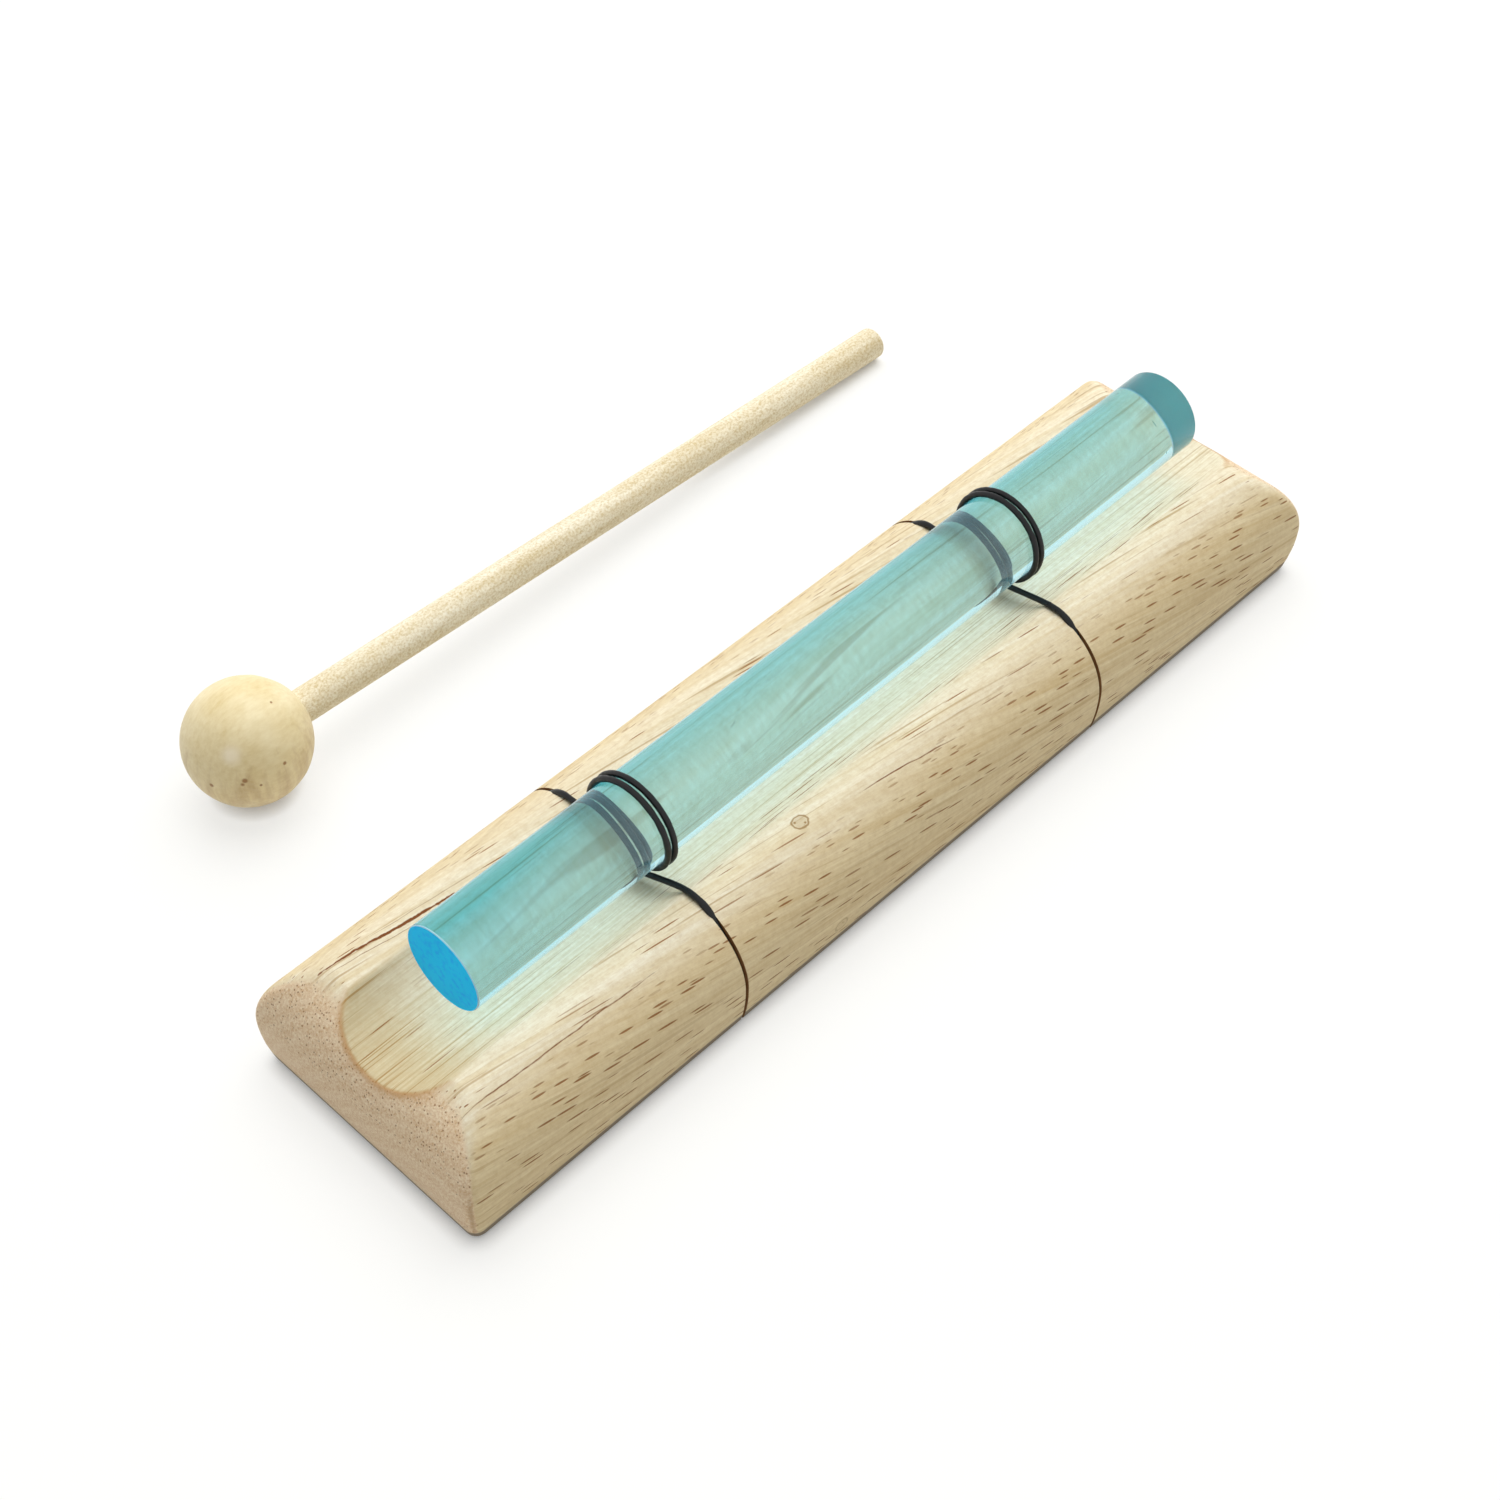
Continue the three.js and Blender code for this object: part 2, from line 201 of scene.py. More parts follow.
def stretched_noise(tree, place, stretch, inputs, shift=(0, 0, 0)):
    """Noise in cells of a millimetre, divided by a factor for x, y and z"""
    spot = add(tree, "Mapping", {"Vector": place, "Scale": stretch, "Location": shift})
    return add(tree, "TexNoise", {"Vector": spot, "Scale": 1.0, **inputs})


def grain_space(tree, lean, bend):
    """Positions in millimetres whose x runs along the grain, leaned and slightly bent"""
    place = add(tree, "TexCoord").outputs["Object"]
    place = add(tree, "VectorMath", {0: place, "Scale": 1000.0}, operation="SCALE")
    along = add(tree, "SeparateXYZ", {0: place}).outputs["X"]
    leaned = add(tree, "VectorMath", {0: lean, "Scale": along}, operation="SCALE")
    straight = add(tree, "VectorMath", {0: place, 1: leaned}, operation="ADD")
    slow = stretched_noise(tree, straight, (0.012, 0.05, 0.05), {"Detail": 1.0}).outputs["Color"]
    slow = add(tree, "VectorMath", {0: slow, 1: (0.5, 0.5, 0.5)}, operation="SUBTRACT")
    slow = add(tree, "VectorMath", {0: slow, 1: (0, bend, bend)}, operation="MULTIPLY")
    return place, add(tree, "VectorMath", {0: straight, 1: slow}, operation="ADD")


# %% One layer of fibres, growth lines and pores
def fibre_layer(tree, bent, across, shift):
    """Soft streaks and thin dark lines; across is the stretch over y and z"""
    streaks = stretched_noise(tree, bent, (0.014, *across), {"Detail": 4.0, "Roughness": 0.62}, shift)
    streaks = add(tree, "MapRange", between(streaks, 0.3, 0.72))
    wide = [1.3 * scale for scale in across]
    moved = (shift[1], 7, shift[0])
    lines = stretched_noise(tree, bent, (0.022, *wide), {"Detail": 2.0, "Roughness": 0.4}, moved)
    lines = add(tree, "MapRange", between(lines, 0.6, 0.68), **EASED)
    return streaks, lines


def pore_layer(tree, bent, size, reach, shift):
    """Long cells along the grain; size stretches them and reach is their radius in cells"""
    cells = add(tree, "Mapping", {"Vector": bent, "Scale": size, "Location": shift})
    cells = add(tree, "TexVoronoi", {"Vector": cells, "Scale": 1.0})
    pores = add(tree, "MapRange", between(cells, reach, reach * 1.5, 1.0, 0.0), **EASED)
    clusters = stretched_noise(tree, bent, (0.05, 0.16, 0.16), {"Detail": 1.0}, shift)
    pick = add(tree, "SeparateColor", {0: cells.outputs["Color"]})
    pick = add(tree, "Math", {0: pick, 1: clusters}, operation="ADD")
    pick = add(tree, "MapRange", between(pick, 0.42, 0.7))
    return add(tree, "Math", {0: pores, 1: pick}, operation="MULTIPLY")


# %% Marks of this one block
KNOT, SMALL_KNOT = (-21.1, -15.4, 23.0), (-21.6, -25.4, 5.8)
# Thin cracks along the grain, as start and end in x and y with a width, all on the land or the shoulder
CRACKS = [
    ((-99.0, 17.5), (-62.0, 12.3), 0.34),
    ((-97.0, 15.9), (-72.0, 12.6), 0.12),
    ((-90.0, 17.2), (-58.0, 13.6), 0.1),
    ((-103.0, -17.9), (-52.0, -19.6), 0.16),
    ((-12.0, -17.4), (14.0, -20.6), 0.16),
]
WIDEST_CRACK = max(width for _, _, width in CRACKS)


def crack_layer(tree, place):
    """Each crack is a thin wandering line that fades out at its ends"""
    spot = add(tree, "SeparateXYZ", {0: place}).outputs
    along, aside = spot["X"], spot["Y"]
    high = add(tree, "MapRange", between(spot["Z"], 17.0, 19.0))
    wander = stretched_noise(tree, place, (0.12, 0.1, 0.1), {"Detail": 3.0})
    wander = add(tree, "MapRange", {"Value": wander, "To Min": -0.45, "To Max": 0.45})
    ragged = stretched_noise(tree, place, (0.7, 1.5, 1.5), {"Detail": 2.0})
    ragged = add(tree, "MapRange", between(ragged, 0.35, 0.6, -0.15, 0.05))
    total = 0.0
    for (x0, y0), (x1, y1), width in CRACKS:
        slope = (y1 - y0) / (x1 - x0)
        middle, half = (x0 + x1) / 2, (x1 - x0) / 2
        share = (width / WIDEST_CRACK) ** 2
        line = add(tree, "Math", {0: along, 1: -slope, 2: slope * x0 - y0}, operation="MULTIPLY_ADD")
        away = add(tree, "Math", {0: aside, 1: line}, operation="ADD")
        away = add(tree, "Math", {0: away, 1: wander}, operation="ADD")
        away = add(tree, "Math", {0: away}, operation="ABSOLUTE")
        end = add(tree, "Math", {0: along, 1: middle}, operation="SUBTRACT")
        end = add(tree, "Math", {0: end}, operation="ABSOLUTE")
        end = add(tree, "MapRange", between(end, half * 0.5, half, width, 0.0))
        mark = add(tree, "Math", {0: end, 1: away}, operation="SUBTRACT")
        mark = add(tree, "Math", {0: ragged, 1: share, 2: mark}, operation="MULTIPLY_ADD")
        mark = add(tree, "MapRange", between(mark, 0.0, 0.15))
        total = add(tree, "Math", {0: total, 1: mark}, operation="MAXIMUM")
    return add(tree, "Math", {0: total, 1: high}, operation="MULTIPLY")


def knot_layer(tree, place, centre):
    """A small knot: a ring with a few dark dots in it"""
    gap = add(tree, "VectorMath", {0: place, 1: centre}, operation="SUBTRACT")
    gap = add(tree, "Mapping", {"Vector": gap, "Scale": (0.85, 1.0, 1.0)})
    rough = add(tree, "TexNoise", {"Vector": place, "Scale": 1.1, "Detail": 1.0})
    distance = add(tree, "VectorMath", {0: gap}, operation="LENGTH")
    distance = add(tree, "Math", {0: rough, 1: 0.5, 2: distance}, operation="MULTIPLY_ADD")
    ring = add(tree, "Math", {0: distance, 1: 1.5}, operation="SUBTRACT")
    ring = add(tree, "Math", {0: ring}, operation="ABSOLUTE")
    ring = add(tree, "MapRange", between(ring, 0.08, 0.24, 0.8, 0.0))
    inside = add(tree, "MapRange", between(distance, 1.15, 1.4, 1.0, 0.0))
    dots = add(tree, "TexVoronoi", {"Vector": place, "Scale": 1.05})
    dots = add(tree, "MapRange", between(dots, 0.14, 0.3, 0.9, 0.25))
    dots = add(tree, "Math", {0: dots, 1: inside}, operation="MULTIPLY")
    return add(tree, "Math", {0: ring, 1: dots}, operation="MAXIMUM")


# %% End grain
def end_grain(tree, place, height):
    """Pinkish tan with clusters of tiny dark pores and faint arcs of growth rings"""
    rings = add(tree, "Mapping", {"Vector": place, "Scale": (0, 1, 1), "Location": (0, 30, 34)})
    rings = add(tree, "VectorMath", {0: rings}, operation="LENGTH")
    stray = add(tree, "TexNoise", {"Vector": place, "Scale": 0.12, "Detail": 2.0})
    rings = add(tree, "Math", {0: stray, 1: 5.0, 2: rings}, operation="MULTIPLY_ADD")
    rings = add(tree, "Math", {0: rings, 1: 2.1}, operation="MULTIPLY")
    rings = add(tree, "Math", {0: rings}, operation="SINE")
    speckle = add(tree, "TexNoise", {"Vector": place, "Scale": 2.4, "Detail": 4.0, "Roughness": 0.75})
    tone = add(tree, "Math", {0: rings, 1: 0.025, 2: speckle}, operation="MULTIPLY_ADD")
    tone = add(tree, "MapRange", between(tone, 0.36, 0.66))
    grain = add(tree, "Mix", {0: tone, 6: colour("#F3E1C3"), 7: colour("#D3AF84")}, **COLOURS)
    dots = add(tree, "TexVoronoi", {"Vector": place, "Scale": 1.6})
    holes = add(tree, "MapRange", between(dots, 0.18, 0.3, 0.8, 0.0))
    pick = add(tree, "SeparateColor", {0: dots.outputs["Color"]})
    clusters = add(tree, "TexNoise", {"Vector": place, "Scale": 0.16, "Detail": 1.0})
    upper = add(tree, "MapRange", between(height, 10.0, 21.0, -0.5, 0.2))
    pick = add(tree, "Math", {0: pick, 1: clusters}, operation="ADD")
    pick = add(tree, "Math", {0: pick, 1: upper}, operation="ADD")
    pick = add(tree, "MapRange", between(pick, 0.8, 1.0))
    holes = add(tree, "Math", {0: holes, 1: pick}, operation="MULTIPLY")
    return add(tree, "Mix", {0: holes, 6: grain, 7: colour("#8A5A32")}, **COLOURS)


# %% Raw sanded rubberwood
def block_wood():
    """Pale straight-grained wood with growth lines, fibres, pores, end grain and two small knots"""
    material, tree = new_material("rubberwood_sanded_raw")
    place, top_space = grain_space(tree, TOP_LEAN, 1.6)
    side_space = grain_space(tree, SIDE_LEAN, 2.0)[1]
    trough_space = grain_space(tree, STRAIGHT, 1.2)[1]
    spot = add(tree, "SeparateXYZ", {0: place}).outputs
    normal = add(tree, "NewGeometry").outputs["Normal"]
    facing = add(tree, "VectorMath", {0: normal}, operation="ABSOLUTE")
    facing = add(tree, "SeparateXYZ", {0: facing}).outputs

    # How far a point lies from the trough's axis tells the trough's surface from the rest
    aside = add(tree, "Math", {0: spot["Y"], 1: TROUGH_ASIDE}, operation="SUBTRACT")
    below = add(tree, "Math", {0: spot["Z"], 1: TROUGH_CENTRE}, operation="SUBTRACT")
    reach = add(tree, "CombineXYZ", {0: aside, 1: below})
    reach = add(tree, "VectorMath", {0: reach}, operation="LENGTH")
    outside = add(tree, "MapRange", between(reach, TROUGH_RADIUS + 0.15, TROUGH_RADIUS + 0.5))
    flank = add(tree, "MapRange", between(facing["Y"], 0.3, 0.8), **EASED)
    side = add(tree, "Math", {0: flank, 1: outside}, operation="MULTIPLY")
    end = add(tree, "MapRange", between(facing["X"], 0.35, 0.6), **EASED)

    # Painted light and shade: the land is painted palest, as if lit, and the flanks darker and more golden,
    # as if in warm shade
    # The trough is painted darker at its open end as painted shade, and lighter where the bar covers it, as
    # painted light that the rod gathers onto it
    top_streaks, top_lines = fibre_layer(tree, top_space, (1.0, 0.1), (3.1, 0.7, 1.3))
    trough_streaks, trough_lines = fibre_layer(tree, trough_space, (2.0, 0.2), (1.7, 4.4, 9.2))
    side_streaks, side_lines = fibre_layer(tree, side_space, (0.1, 0.9), (8.3, 2.9, 5.1))
    land = add(tree, "Mix", {0: top_streaks, 6: colour("#F6F0DA"), 7: colour("#E2D2AC")}, **COLOURS)
    shaded_trough = add(tree, "Mix", {0: trough_streaks, 6: colour("#DDD0AC"), 7: colour("#C3B088")}, **COLOURS)
    lit_trough = add(tree, "Mix", {0: trough_streaks, 6: colour("#F6EFDA"), 7: colour("#DFD1AD")}, **COLOURS)
    shaded_flank = add(tree, "Mix", {0: side_streaks, 6: colour("#F2E3BC"), 7: colour("#D8C090")}, **COLOURS)
    covered = add(tree, "MapRange", between(spot["X"], -95.0, -80.0), **EASED)
    trough = add(tree, "Mix", {0: covered, 6: shaded_trough, 7: lit_trough}, **COLOURS)
    wood = add(tree, "Mix", {0: outside, 6: trough, 7: land}, **COLOURS)
    wood = add(tree, "Mix", {0: side, 6: wood, 7: shaded_flank}, **COLOURS)

    # Thin brown growth lines
    side_lines = add(tree, "Math", {0: side_lines, 1: 0.45}, operation="MULTIPLY")
    strength = add(tree, "MapRange", {"Value": covered, "To Min": 1.5, "To Max": 0.8})
    trough_lines = add(tree, "Math", {0: trough_lines, 1: strength}, operation="MULTIPLY")
    lines = add(tree, "Mix", {0: outside, 2: trough_lines, 3: top_lines})
    lines = add(tree, "Mix", {0: side, 2: lines, 3: side_lines})
    lines = add(tree, "Math", {0: lines, 1: 0.6}, operation="MULTIPLY")

    # Fine fibres, drawn coarser than real ones so that they show
    fine = stretched_noise(tree, side_space, (0.12, 3.2, 3.2), {"Detail": 3.0, "Roughness": 0.7})
    fine = add(tree, "MapRange", between(fine, 0.35, 0.65, 0.0, 0.22))
    mottle = add(tree, "TexNoise", {"Vector": place, "Scale": 0.8, "Detail": 5.0, "Roughness": 0.75})
    mottle = add(tree, "MapRange", between(mottle, 0.42, 0.7, 0.0, 0.3))

    # Open pores: dashes on the flanks, thin long slits above
    dashes = pore_layer(tree, side_space, (0.1, 1.25, 1.25), 0.17, (2, 9, 4))
    slits = pore_layer(tree, top_space, (0.04, 1.3, 1.3), 0.13, (5, 1, 7))
    grooves = pore_layer(tree, trough_space, (0.05, 1.2, 1.2), 0.14, (6, 3, 2))
    # The bar magnifies what lies under it, so there the pores are faint
    under = add(tree, "MapRange", between(aside, -8.5, -6.5, 0.0, 0.88))
    under = add(tree, "Math", {0: under, 1: covered}, operation="MULTIPLY")
    grooves = add(tree, "Mix", {0: under, 2: grooves, 3: 0.0})
    pores = add(tree, "Mix", {0: outside, 2: grooves, 3: slits})
    pores = add(tree, "Mix", {0: side, 2: pores, 3: dashes})
    cracks = crack_layer(tree, place)
    marks = add(tree, "Math", {0: pores, 1: cracks}, operation="MAXIMUM")
    stain = add(tree, "Math", {0: pores, 1: 0.9}, operation="MULTIPLY")
    coats = [(lines, "#A5824C"), (fine, "#C2A36C"), (mottle, "#BE9F6E")]
    coats += [(stain, "#8E5B2A"), (cracks, "#7A4722")]
    for share, code in coats:
        wood = add(tree, "Mix", {0: share, 6: wood, 7: colour(code)}, **COLOURS)

    # End grain is darker and pinker, because light sinks into the open fibre ends
    grain = end_grain(tree, place, spot["Z"])
    wood = add(tree, "Mix", {0: end, 6: wood, 7: grain}, **COLOURS)

    # The router left a warm brown rim round the trough's mouth
    rim = between(reach, TROUGH_RADIUS + 0.1, TROUGH_RADIUS + 1.2, 0.65, 0.0)
    rim = add(tree, "MapRange", rim, **EASED)
    at_mouth = add(tree, "MapRange", between(facing["X"], 0.15, 0.5))
    rim = add(tree, "Math", {0: rim, 1: at_mouth}, operation="MULTIPLY")
    faint = add(tree, "Math", {0: knot_layer(tree, place, SMALL_KNOT), 1: 0.5}, operation="MULTIPLY")
    knot = add(tree, "Math", {0: knot_layer(tree, place, KNOT), 1: faint}, operation="MAXIMUM")

    # Painted shade: the rounded upright corners are painted darker, so that they lose the pale strip of
    # light that their rounding catches
    corner = add(tree, "Math", {0: facing["X"], 1: facing["Y"]}, operation="MULTIPLY")
    corner = add(tree, "MapRange", between(corner, 0.42, 0.5, 0.0, 0.55))
    # Painted shade: the lowest three millimetres are painted dark, as the contact shadow along the block's
    # foot
    foot_shade = add(tree, "MapRange", between(spot["Z"], 2.3, 3.0, 0.85, 0.0), **EASED)
    for share, code in ((rim, "#B98646"), (knot, "#93703C"), (corner, "#A07847"), (foot_shade, "#6E6355")):
        wood = add(tree, "Mix", {0: share, 6: wood, 7: colour(code)}, **COLOURS)

    height = add(tree, "Math", {0: fine, 1: marks}, operation="SUBTRACT")
    bump = add(tree, "Bump", {"Strength": 0.4, "Distance": 0.00008, "Height": height})
    finish = {"Base Color": wood, "Roughness": 0.6, "IOR": 1.45, "Specular IOR Level": 0.3}
    shader = add(tree, "BsdfPrincipled", {**finish, "Normal": bump})
    add(tree, "OutputMaterial", {"Surface": shader})
    return material


BLOCK_WOOD = block_wood()
print("made", BLOCK_WOOD.name, "with", len(BLOCK_WOOD.node_tree.nodes), "nodes")

# %% [markdown]
# ## The saw kerfs' walls
#
# A thin blade rubs and scorches pale wood a little, so the walls of each kerf are brown.


# %% Wood scorched by the saw
def kerf_wood():
    """Brown wood with the fine stripes that a saw's teeth leave"""
    material, tree = new_material("rubberwood_sawn")
    place = add(tree, "TexCoord").outputs["Object"]
    stripes = stretched_noise(tree, place, (1000, 600, 600), {"Detail": 3.0})
    wood = add(tree, "Mix", {0: stripes, 6: colour("#B98A55"), 7: colour("#7A4F2B")}, **COLOURS)
    shader = add(tree, "BsdfPrincipled", {"Base Color": wood, "Roughness": 0.8})
    add(tree, "OutputMaterial", {"Surface": shader})
    return material


KERF_WOOD = kerf_wood()
print("made", KERF_WOOD.name)

# %% [markdown]
# ## The glass
#
# The bar is a drawn rod of soda-lime glass with a light blue tint.
# Drawing leaves it optically smooth, so it has a clear reflection, and its tint sits in the whole body:
# a look through its 16 mm is pale, and a look along its length is deep blue.
# So most of the colour comes from absorption in the volume.
# The surface adds a slight haze, and its tint is painted teal: on the side that faces up and towards the
# mallet as painted light, for the teal that the rod bends there, and at the near end as painted shade.
# The two ends were ground flat. Their even blue is painted light: a blue colour and a painted glow
# stand in for the light that runs down the rod and scatters in the ground face.


# %% Drawn glass with a light blue tint
def tinted_glass():
    """Clear tinted glass whose two end faces are ground"""
    material, tree = new_material("drawn_glass_light_blue")
    place = add(tree, "TexCoord").outputs["Object"]
    geometry = add(tree, "NewGeometry").outputs
    facing = add(tree, "VectorMath", {0: geometry["True Normal"]}, operation="ABSOLUTE")
    facing = add(tree, "SeparateXYZ", {0: facing}).outputs["X"]
    eased = add(tree, "Math", {0: facing, 1: 0.2}, operation="GREATER_THAN")
    ground = add(tree, "Math", {0: facing, 1: 0.9}, operation="GREATER_THAN")

    # Painted light: the haze is tinted teal where the surface faces up and towards the mallet
    # Painted shade: at the near end the teal reaches further round
    painted_teal = add(tree, "VectorMath", {0: geometry["Normal"], 1: (0, 0.855, 0.519)}, operation="DOT_PRODUCT")
    along = add(tree, "SeparateXYZ", {0: place}).outputs["X"]
    near_end_shade = add(tree, "MapRange", between(along, -0.075, -0.04, 0.42, 0.0))
    painted_teal = add(tree, "Math", {0: painted_teal, 1: near_end_shade}, operation="ADD")
    painted_teal = add(tree, "MapRange", {"Value": painted_teal})
    side = add(tree, "Mix", {0: painted_teal, 6: colour("#EDFDFF"), 7: colour("#59C4D7")}, **COLOURS)

    # A few specks of dirt, each smaller than a millimetre
    specks = add(tree, "TexVoronoi", {"Vector": place, "Scale": 260.0})
    rare = add(tree, "SeparateColor", {0: specks.outputs["Color"]})
    rare = add(tree, "Math", {0: rare, 1: 0.07, 2: -0.035}, operation="MULTIPLY_ADD")
    specks = add(tree, "Math", {0: specks, 1: rare}, operation="LESS_THAN")
    side = add(tree, "Mix", {0: specks, 6: side, 7: colour("#619599")}, **COLOURS)

    # A ground face is frosted and dust sits in it; its blue and its glow are painted light, for the light
    # that comes down the rod
    dust = add(tree, "TexNoise", {"Vector": place, "Scale": 900.0, "Detail": 3.0})
    dust = add(tree, "MapRange", between(dust, 0.5, 0.75))
    frost_and_painted_light = add(tree, "Mix", {0: dust, 6: colour("#19CEF1"), 7: colour("#19AADA")}, **COLOURS)
    inside = geometry["Backfacing"]
    frost_and_painted_light = add(tree, "Mix", {0: inside, 6: frost_and_painted_light, 7: colour("#00F1FF")}, **COLOURS)
    tone = add(tree, "Mix", {0: eased, 6: side, 7: colour("#BCEDFF")}, **COLOURS)
    tone = add(tree, "Mix", {0: ground, 6: tone, 7: frost_and_painted_light}, **COLOURS)
    rough = add(tree, "Math", {0: ground, 1: 0.5}, operation="MULTIPLY")
    clear = add(tree, "MapRange", {"Value": eased, "To Min": 0.955, "To Max": 0.3})
    mirror = add(tree, "MapRange", {"Value": ground, "To Min": 0.5, "To Max": 0.0})
    # Painted glow: seen from outside, each ground face emits blue light though it is no lamp
    glow = add(tree, "Math", {0: ground, 1: inside}, operation="SUBTRACT")
    glow = add(tree, "Math", {0: glow, 1: 0.25}, operation="MULTIPLY", use_clamp=True)
    finish = {
        "Base Color": tone,
        "Roughness": rough,
        "IOR": 1.5,
        "Transmission Weight": clear,
        "Specular IOR Level": mirror,
        "Emission Color": colour("#00A2FF"),
        "Emission Strength": glow,
    }
    shader = add(tree, "BsdfPrincipled", finish)

    # A round rod gathers the light that it lets through, so its shadow is bright, beyond any hex code
    shadow = add(tree, "LightPath").outputs["Is Shadow Ray"]
    through = add(tree, "BsdfTransparent", {"Color": (1.13, 1.12, 1.18, 1)})
    mixed = add(tree, "MixShader", {0: shadow, 1: shader, 2: through})
    tint = add(tree, "VolumeAbsorption", {"Color": colour("#30EFFE"), "Density": 24.0})
    add(tree, "OutputMaterial", {"Surface": mixed, "Volume": tint})
    return material


GLASS = tinted_glass()
print("made", GLASS.name)

# %% [markdown]
# ## The cord
#
# Both loops are round elastic cord, extruded black rubber.
# It is a little glossy, and its surface is slightly uneven because it is stretched.


# %% Extruded black rubber
def black_rubber():
    """Nearly black, with a soft broad highlight"""
    material, tree = new_material("extruded_rubber_black")
    place = add(tree, "TexCoord").outputs["Object"]
    wavy = add(tree, "TexNoise", {"Vector": place, "Scale": 1500.0, "Detail": 2.0})
    sheen = add(tree, "MapRange", between(wavy, 0.3, 0.7, 0.28, 0.5))
    bump = add(tree, "Bump", {"Strength": 0.3, "Distance": 0.0001, "Height": wavy})
    finish = {"Base Color": colour("#0D0E10"), "Roughness": sheen, "Specular IOR Level": 0.35}
    shader = add(tree, "BsdfPrincipled", {**finish, "Normal": bump})
    add(tree, "OutputMaterial", {"Surface": shader})
    return material


RUBBER = black_rubber()
print("made", RUBBER.name)

# %% [markdown]
# ## The mallet's wood
#
# Ball and dowel are birch, turned and sanded.
# Birch is close-grained: it has no open pores, only small flecks along the grain.
# The ball has been used, so it has smudges and a few brown specks; its lower half is painted darker as
# shade, and one light patch on it is a painted highlight.


# %% Turned birch for the ball
# Brown specks, each as a place in millimetres and a radius
SPECKS = [
    ((-74.5, 62.5, 13.9), 0.6),
    ((-74.8, 62.9, 13.1), 0.5),
    ((-72.5, 61.0, 12.3), 0.34),
    ((-67.6, 60.2, 14.6), 0.45),
    ((-78.2, 67.3, 11.9), 0.5),
    ((-63.7, 67.3, 21.4), 0.3),
]
# Where the painted highlight sits, in millimetres
PAINTED_HIGHLIGHT = (-74.5, 65.2, 18.2)


def ball_wood():
    """Smooth close-grained wood with smudges and specks, painted shade low down and a painted highlight"""
    material, tree = new_material("birch_turned_used")
    place, bent = grain_space(tree, STRAIGHT, 3.0)
    flecks = stretched_noise(tree, bent, (0.5, 1.4, 1.4), {"Detail": 4.0, "Roughness": 0.6})
    flecks = add(tree, "MapRange", between(flecks, 0.35, 0.7, 0.0, 0.35))
    clouds = add(tree, "TexNoise", {"Vector": place, "Scale": 0.13, "Detail": 3.0})
    clouds = add(tree, "MapRange", between(clouds, 0.35, 0.65, 0.0, 0.45))
    tone = add(tree, "Math", {0: flecks, 1: clouds}, operation="ADD")
    wood = add(tree, "Mix", {0: tone, 6: colour("#F9EBC3"), 7: colour("#DDC68C")}, **COLOURS)

    # Smudges darken the ball: the smudges are marks of use, and their weight on the lower half is painted
    # shade
    low = add(tree, "SeparateXYZ", {0: place}).outputs["Z"]
    low = add(tree, "MapRange", between(low, 12.0, 19.0, 0.12, -0.2))
    smudge_and_shade = stretched_noise(tree, place, (0.55, 0.55, 0.1), {"Detail": 5.0, "Roughness": 0.6})
    smudge_and_shade = add(tree, "Math", {0: smudge_and_shade, 1: low}, operation="ADD")
    smudge_and_shade = add(tree, "MapRange", between(smudge_and_shade, 0.48, 0.76, 0.0, 0.4))
    wood = add(tree, "Mix", {0: smudge_and_shade, 6: wood, 7: colour("#B08850")}, **COLOURS)

    # A few brown specks, and a painted highlight: a light patch on the side that faces the camera
    dots = 0.0
    for centre, size in SPECKS:
        away = add(tree, "VectorMath", {0: place, 1: centre}, operation="DISTANCE")
        dot = add(tree, "MapRange", between(away, size * 0.5, size, 0.85, 0.0))
        dots = add(tree, "Math", {0: dots, 1: dot}, operation="MAXIMUM")
    highlight_patch = add(tree, "VectorMath", {0: place, 1: PAINTED_HIGHLIGHT}, operation="DISTANCE")
    highlight_patch = add(tree, "MapRange", between(highlight_patch, 0.4, 2.6, 0.75, 0.0), **EASED)
    wood = add(tree, "Mix", {0: highlight_patch, 6: wood, 7: colour("#FFF3D8")}, **COLOURS)
    wood = add(tree, "Mix", {0: dots, 6: wood, 7: colour("#9A6838")}, **COLOURS)
    bump = add(tree, "Bump", {"Strength": 0.25, "Distance": 0.0001, "Height": flecks})
    finish = {"Base Color": wood, "Roughness": 0.5, "Specular IOR Level": 0.4, "Normal": bump}
    shader = add(tree, "BsdfPrincipled", finish)
    add(tree, "OutputMaterial", {"Surface": shader})
    return material


# %% Sanded birch for the dowel
def dowel_wood():
    """Pale wood with fine ribbed flecks, from the dowel machine's cutter"""
    material, tree = new_material("birch_dowel_sanded")
    bent = grain_space(tree, STRAIGHT, 2.0)[1]
    flecks = stretched_noise(tree, bent, (2.0, 2.6, 2.6), {"Detail": 4.0, "Roughness": 0.7})
    flecks = add(tree, "MapRange", between(flecks, 0.42, 0.66, 0.0, 0.8))
    bands = stretched_noise(tree, bent, (0.03, 0.5, 0.5), {"Detail": 2.0})
    bands = add(tree, "MapRange", between(bands, 0.35, 0.65, 0.0, 0.45))
    tone = add(tree, "Math", {0: flecks, 1: bands}, operation="ADD")
    wood = add(tree, "Mix", {0: tone, 6: colour("#FDF6E0"), 7: colour("#D6C294")}, **COLOURS)
    bump = add(tree, "Bump", {"Strength": 0.4, "Distance": 0.0001, "Height": flecks})
    finish = {"Base Color": wood, "Roughness": 0.6, "Specular IOR Level": 0.3, "Normal": bump}
    shader = add(tree, "BsdfPrincipled", finish)
    add(tree, "OutputMaterial", {"Surface": shader})
    return material


BALL_WOOD, DOWEL_WOOD = ball_wood(), dowel_wood()
print("made", BALL_WOOD.name, "and", DOWEL_WOOD.name)

# %% [markdown]
# ## The block
#
# A level outline with round corners is raised ring by ring.
# Each ring moves its four corners out or in, so the four sides get the same bulge and meet in crisp mitres.
# Then the trough is ploughed out, the whole surface is remeshed and relaxed, and flat places lose faces.
# That eases every edge by about half a millimetre, as a hand with sandpaper does.


